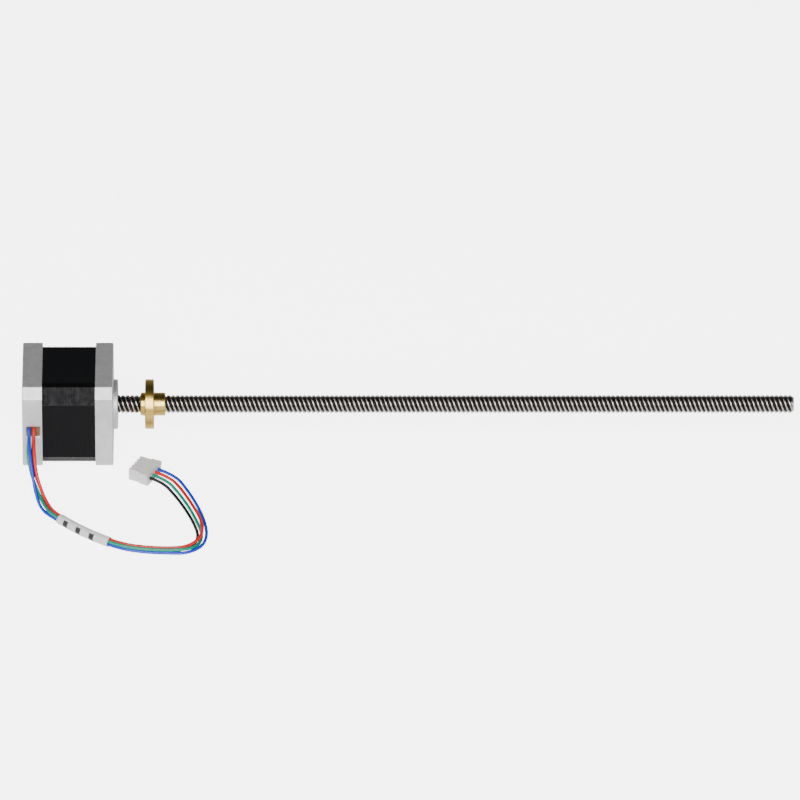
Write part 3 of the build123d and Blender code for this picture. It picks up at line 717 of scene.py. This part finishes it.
def printed_sleeve():
    """Soft white tube with three plain dark bars, which mean nothing."""
    m = Material("white_sleeve")
    separate = m.node(
        "ShaderNodeSeparateXYZ", {"Vector": m.node("ShaderNodeTexCoord").outputs["UV"]}
    )
    along, around = separate.outputs[0], separate.outputs[1]

    def between(value, low, high):
        above = m.math("GREATER_THAN", value, low)
        below = m.math("LESS_THAN", value, high)
        return m.math("MULTIPLY", above, below)

    first, second, third = (between(along, *span) for span in BAR_SPANS)
    bars = m.math("MAXIMUM", m.math("MAXIMUM", first, second), third)
    printed = m.math("MULTIPLY", bars, between(around, *BAR_REACH))
    mottling = m.noise(700, 3)
    white = m.ramp(mottling, [(0.3, (0.66, 0.66, 0.645)), (0.7, (0.74, 0.74, 0.73))])
    ink = m.node(
        "ShaderNodeMix",
        {"Factor": printed, "A": white, "B": (0.02, 0.02, 0.022, 1)},
        data_type="RGBA",
    )
    m.set(
        Base_Color=ink.outputs["Result"],
        Roughness=m.spread(mottling, 0.38, 0.5),
    )
    m.bump(m.noise(300, 2), 0.15, 0.0002)
    return m.material


finishes = {
    "cast_aluminium": cast_aluminium(),
    "black_laminations": black_laminations(),
    "nylon_insulator": plastic("nylon_insulator", (0.70, 0.69, 0.64), (0.80, 0.79, 0.75), 0.45),
    "enamelled_copper": copper_turns(),
    "circuit_board": plastic("circuit_board", (0.01, 0.10, 0.04), (0.02, 0.15, 0.06), 0.35),
    "tan_insulation": plastic(
        "tan_insulation", (0.09, 0.04, 0.018), (0.22, 0.12, 0.055), 0.5, 500, 0.3
    ),
    "zinc_steel": turned_metal("zinc_steel", (0.50, 0.50, 0.50), (0.64, 0.64, 0.63), 0.3),
    "bearing_steel": turned_metal(
        "bearing_steel", (0.62, 0.62, 0.63), (0.74, 0.74, 0.75), 0.14, strength=0.04
    ),
    "rotor_steel": turned_metal(
        "rotor_steel", (0.24, 0.24, 0.25), (0.36, 0.36, 0.37), 0.42, 1500, 0.3
    ),
    "rotor_magnet": plastic("rotor_magnet", (0.10, 0.10, 0.11), (0.17, 0.17, 0.18), 0.4),
    "screw_steel": turned_metal(
        "screw_steel", (0.46, 0.44, 0.42), (0.68, 0.65, 0.62), 0.2, 700, 0.1
    ),
    "nut_brass": turned_metal("nut_brass", (0.62, 0.41, 0.09), (0.80, 0.57, 0.17), 0.27, 2400, 0.1),
    "wire_blue": plastic("wire_blue", (0.004, 0.026, 0.46), (0.010, 0.046, 0.62), 0.33),
    "wire_red": plastic("wire_red", (0.60, 0.006, 0.008), (0.75, 0.012, 0.014), 0.33),
    "wire_green": plastic("wire_green", (0.002, 0.22, 0.13), (0.006, 0.31, 0.19), 0.33),
    "wire_black": plastic("wire_black", (0.006, 0.006, 0.006), (0.014, 0.014, 0.014), 0.36),
    "white_sleeve": printed_sleeve(),
    "white_nylon": plastic("white_nylon", (0.66, 0.64, 0.64), (0.74, 0.72, 0.72), 0.42, 1300),
    "tinned_terminal": turned_metal("tinned_terminal", (0.60, 0.60, 0.58), (0.72, 0.72, 0.70), 0.25),
}


def dress(piece, slot_name):
    """Give a piece one finish."""
    piece.data.materials.clear()
    piece.data.materials.append(finishes[slot_name])


for subpart in frame["record"]["subparts"]:
    dress(nodes[subpart["node"]], subpart["material_slot"])
for name, wire in wires.items():
    dress(wire, name)
dress(screw, "screw_steel")
dress(nut_thread, "nut_brass")
dress(laminations, "black_laminations")
dress(sleeve, "white_sleeve")
dress(housing, "white_nylon")

# the screw's grooves are dark with oil and painted shade
screw.data.materials.append(groove_oil_and_painted_shade())
groove_limit = ROOT_RADIUS + GROOVE_SHARE * (CREST_RADIUS - ROOT_RADIUS)
for face in screw.data.polygons:
    in_groove = Vector(face.center[1:]).length < groove_limit
    if in_groove and THREAD_START_X < face.center.x < TIP_X - TIP_BEVEL:
        face.material_index = 1

# the sheets' edges show on the corner flats, with a dull near-black band of painted shade by the top
# and bottom
laminations.data.materials.append(sheet_edges())
laminations.data.materials.append(painted_shade_band())
for face in laminations.data.polygons:
    across_flat = (abs(face.center.z) - (STACK_HALF - STACK_CORNER)) / STACK_CORNER
    on_corner = abs(abs(face.normal.y) - abs(face.normal.z)) < CORNER_FACES_BELOW
    if on_corner:
        face.material_index = 2 if across_flat > PAINTED_SHADE_FROM else 1

# ---------------------------------------------------------------- floor and light
FLOOR_SIZE = 6.0
PAPER_GLOW = 0.5
PAPER_WHITE = 5.0
PAPER_GAP = 0.05 * MM       # keeps the paper from meeting the object's underside
WALLS_UP_TO = 0.35          # heights on the sky, from 0 at the horizon to 1 overhead
CEILING_FROM = 0.85
WALL_LIGHT = 0.22
CEILING_LIGHT = 0.03
floor_mesh = bpy.data.meshes.new("floor")
half = FLOOR_SIZE / 2
floor_mesh.from_pydata(
    [(-half, -half, 0), (half, -half, 0), (half, half, 0), (-half, half, 0)], [], [(0, 1, 2, 3)]
)
floor = bpy.data.objects.new("floor", floor_mesh)
floor.location.z = FLOOR_Z - PAPER_GAP
bpy.context.scene.collection.objects.link(floor)
paper = Material("floor")
paper_tone = paper.noise(3, 2)
paper.set(
    Base_Color=paper.ramp(paper_tone, [(0.3, (0.90, 0.90, 0.90)), (0.7, (0.92, 0.92, 0.92))]),
    Roughness=0.9,
    Specular_IOR_Level=0.1,
)
# seen by the camera the paper is overexposed, and it lights the object far more softly
seen = paper.node("ShaderNodeLightPath").outputs["Is Camera Ray"]
glow = paper.spread(seen, PAPER_GLOW, PAPER_WHITE)
paper.set(Emission_Color=(1, 1, 1, 1), Emission_Strength=glow)
floor.data.materials.append(paper.material)


def soft_light(name, position, size, power, target=(0.1, 0, 0)):
    """A square soft box aimed at a point."""
    data = bpy.data.lights.new(name, "AREA")
    data.size = size
    data.energy = power
    light = bpy.data.objects.new(name, data)
    bpy.context.scene.collection.objects.link(light)
    light.location = position
    light.rotation_mode = "QUATERNION"
    light.rotation_quaternion = (Vector(target) - Vector(position)).to_track_quat("-Z", "Y")
    return light


soft_light("front_top_box", (0.0, -1.3, 1.0), 1.3, 44)
soft_light("left_box", (-1.3, -0.4, 0.9), 0.9, 7)

world = bpy.data.worlds.new("studio")
bpy.context.scene.world = world
world.use_nodes = True
tree = world.node_tree
sky_place = tree.nodes.new("ShaderNodeTexCoord")
split = tree.nodes.new("ShaderNodeSeparateXYZ")
tree.links.new(sky_place.outputs["Generated"], split.inputs[0])
# pale walls all round, and a dark ceiling
sky = tree.nodes.new("ShaderNodeMapRange")
sky.inputs["From Min"].default_value = WALLS_UP_TO
sky.inputs["From Max"].default_value = CEILING_FROM
sky.inputs["To Min"].default_value = WALL_LIGHT
sky.inputs["To Max"].default_value = CEILING_LIGHT
tree.links.new(split.outputs[2], sky.inputs["Value"])
# seen by the camera the walls are as white as the paper
backdrop = tree.nodes.new("ShaderNodeMapRange")
backdrop.inputs["To Max"].default_value = PAPER_WHITE
seen_sky = tree.nodes.new("ShaderNodeLightPath")
tree.links.new(seen_sky.outputs["Is Camera Ray"], backdrop.inputs["Value"])
tree.links.new(sky.outputs[0], backdrop.inputs["To Min"])
tree.nodes["Background"].inputs["Color"].default_value = (1, 1, 1, 1)
tree.links.new(backdrop.outputs[0], tree.nodes["Background"].inputs["Strength"])

# ---------------------------------------------------------------- the end
bpy.context.view_layer.update()
